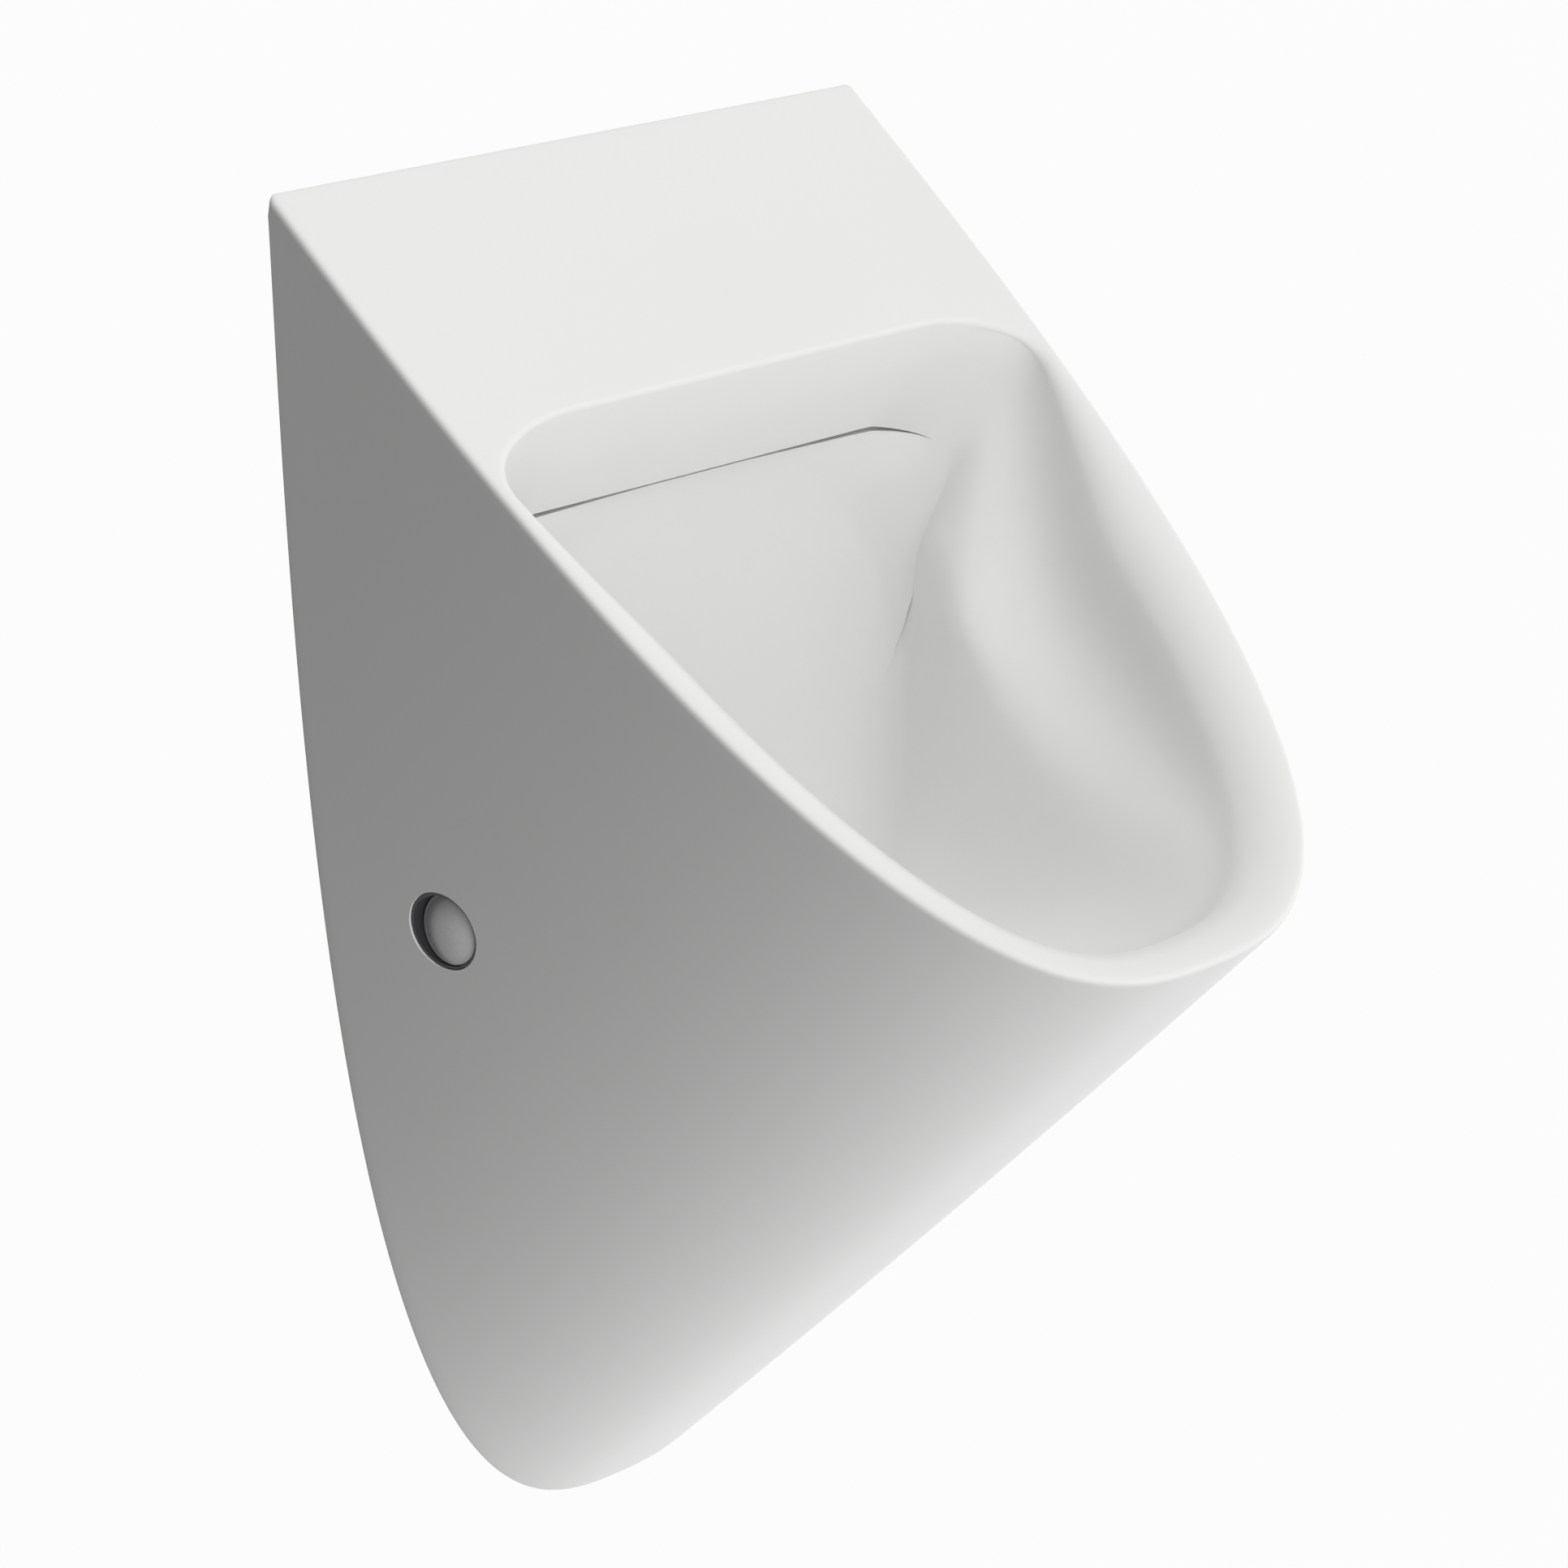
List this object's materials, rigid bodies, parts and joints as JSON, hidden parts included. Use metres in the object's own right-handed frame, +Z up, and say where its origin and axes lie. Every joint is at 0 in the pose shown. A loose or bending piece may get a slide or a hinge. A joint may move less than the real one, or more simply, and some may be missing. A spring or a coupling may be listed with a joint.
{
  "type": "wall hung urinal",
  "caption": "Wall hung ceramic urinal with a slanted rim, deep bowl, hidden flush slot, concealed bottle trap and side fixings under domed cover caps.",
  "frame": {"origin": "on the wall plane, midway between the screw holes of the two hanging hooks, 80 mm below the top edge", "axes": "+X to the right as one faces the bowl, +Y into the wall, +Z up"},
  "size_m": [0.33, 0.325, 0.58],
  "materials": {
    "glazed_white": "high gloss glaze",
    "white_plastic": "gloss",
    "black_plastic": "satin",
    "zinc_steel": "zinc plated",
    "seal_rubber": "matt",
    "pipe_plastic": "satin",
    "chromed_brass": "polished",
    "bright_steel": "polished"
  },
  "bodies": {
    "urinal": {"ceramic_body": "glazed_white", "fixing_bush_left": "black_plastic", "fixing_bush_right": "black_plastic", "screw_washers": "zinc_steel", "wall_bracket_left": "zinc_steel", "wall_bracket_right": "zinc_steel", "bracket_nuts": "zinc_steel", "hanging_hook_left": "zinc_steel", "hanging_hook_right": "zinc_steel", "hook_pads": "black_plastic", "inlet_seal": "seal_rubber", "inlet_pipe": "pipe_plastic", "inlet_locknut": "black_plastic", "flush_spreader": "black_plastic", "supply_nut": "chromed_brass", "supply_washer": "seal_rubber", "waste_flange": "bright_steel", "flange_gasket": "seal_rubber", "waste_gasket": "seal_rubber", "waste_washer": "pipe_plastic", "waste_nut": "pipe_plastic", "trap_body": "pipe_plastic", "trap_inlet_seal": "seal_rubber", "dip_tube": "black_plastic", "outlet_seal": "seal_rubber"},
    "left_cap": {"cover_cap_left": "white_plastic"},
    "right_cap": {"cover_cap_right": "white_plastic"},
    "left_screw": {"fixing_screw_left": "zinc_steel"},
    "right_screw": {"fixing_screw_right": "zinc_steel"},
    "drain_strainer": {"strainer": "bright_steel"},
    "cup": {"trap_cup": "black_plastic", "cup_seal": "seal_rubber"}
  },
  "joints": [
    {"name": "cover_cap_left_pull", "type": "slide", "parent": "urinal", "child": "left_cap", "axis": [-1, 0, 0], "range_m": [0, 0.012]},
    {"name": "cover_cap_right_pull", "type": "slide", "parent": "urinal", "child": "right_cap", "axis": [1, 0, 0], "range_m": [0, 0.012]},
    {"name": "fixing_screw_left_turn", "type": "hinge", "parent": "urinal", "child": "left_screw", "pos_m": [-0.14, -0.062, -0.2055], "axis": [1, 0, 0], "continuous": true},
    {"name": "fixing_screw_right_turn", "type": "hinge", "parent": "urinal", "child": "right_screw", "pos_m": [0.14, -0.062, -0.2055], "axis": [1, 0, 0], "continuous": true},
    {"name": "strainer_lift", "type": "slide", "parent": "urinal", "child": "drain_strainer", "axis": [0, 0, 1], "range_m": [0, 0.03]},
    {"name": "trap_cup_turn", "type": "hinge", "parent": "urinal", "child": "cup", "pos_m": [0, -0.054, -0.38], "axis": [0, 0, 1], "continuous": true}
  ]
}
